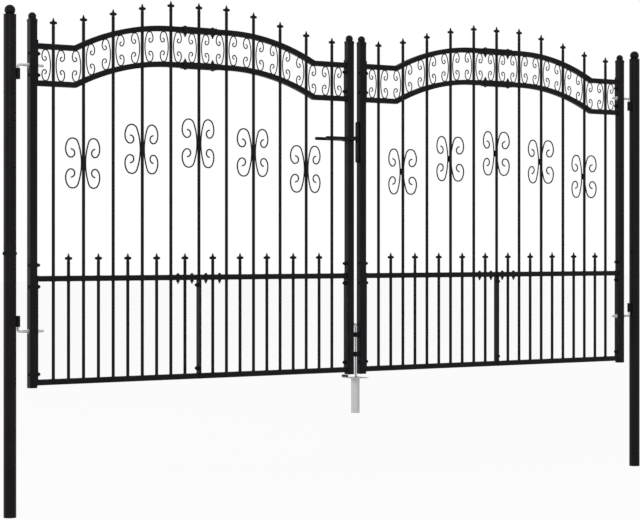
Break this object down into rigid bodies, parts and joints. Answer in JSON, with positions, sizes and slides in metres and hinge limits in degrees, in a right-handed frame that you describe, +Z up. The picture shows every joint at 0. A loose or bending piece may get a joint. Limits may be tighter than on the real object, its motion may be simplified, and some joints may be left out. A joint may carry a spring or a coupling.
{
  "type": "double-leaf wrought iron driveway gate on two posts",
  "caption": "Double driveway gate of black coated steel: arched scroll-band leaves with spear-topped pickets, hung on round posts, with lever lock and drop bolt.",
  "frame": {"origin": "centre of the left post's foot face", "axes": "+X along the shut gate to the right post, +Y through the gate away from the front, +Z up the posts"},
  "size_m": [4.052, 0.11, 2.5],
  "materials": {
    "black_coat": "satin black powder coat",
    "galvanised": "dull zinc coating"
  },
  "bodies": {
    "posts": {"left_post": "black_coat", "right_post": "black_coat", "post_caps": "black_coat", "left_hinge_eyes": "black_coat", "right_hinge_eyes": "black_coat", "ground_socket": "galvanised"},
    "left_leaf": {"left_hinge_stile": "black_coat", "left_lock_stile": "black_coat", "left_stile_caps": "black_coat", "left_outer_panel": "black_coat", "left_inner_panel": "black_coat", "left_centre_bar": "black_coat", "left_hinge_pins": "galvanised", "lock_forend": "black_coat"},
    "right_leaf": {"right_hinge_stile": "black_coat", "right_lock_stile": "black_coat", "right_stile_caps": "black_coat", "right_outer_panel": "black_coat", "right_inner_panel": "black_coat", "right_centre_bar": "black_coat", "right_hinge_pins": "galvanised", "lock_keep": "black_coat", "drop_bolt_guides": "black_coat"},
    "handle": {"handle_spindle": "galvanised", "front_lever": "black_coat", "rear_lever": "black_coat"},
    "latch": {"latch_bolt": "black_coat"},
    "bolt": {"drop_bolt": "galvanised"}
  },
  "joints": [
    {"name": "left_leaf_swing", "type": "hinge", "parent": "posts", "child": "left_leaf", "pos_m": [0.0415, 0, 1.5], "axis": [0, 0, 1], "range_deg": [-90, 90]},
    {"name": "right_leaf_swing", "type": "hinge", "parent": "posts", "child": "right_leaf", "pos_m": [3.9505, 0, 1.5], "axis": [0, 0, -1], "range_deg": [-90, 90]},
    {"name": "handle_turn", "type": "hinge", "parent": "left_leaf", "child": "handle", "pos_m": [1.9565, 0, 1.847], "axis": [0, -1, 0], "range_deg": [0, 45], "stiffness_Nm_per_rad": 1.5, "springref_deg": -45.84},
    {"name": "latch_slide", "type": "slide", "parent": "left_leaf", "child": "latch", "axis": [-1, 0, 0], "range_m": [0, 0.008]},
    {"name": "drop_bolt_slide", "type": "slide", "parent": "right_leaf", "child": "bolt", "axis": [0, 0, 1], "range_m": [-0.027, 0.1]}
  ],
  "couplings": [
    {"joint": "latch_slide", "follows": "handle_turn", "m_per_rad": 0.010186}
  ]
}
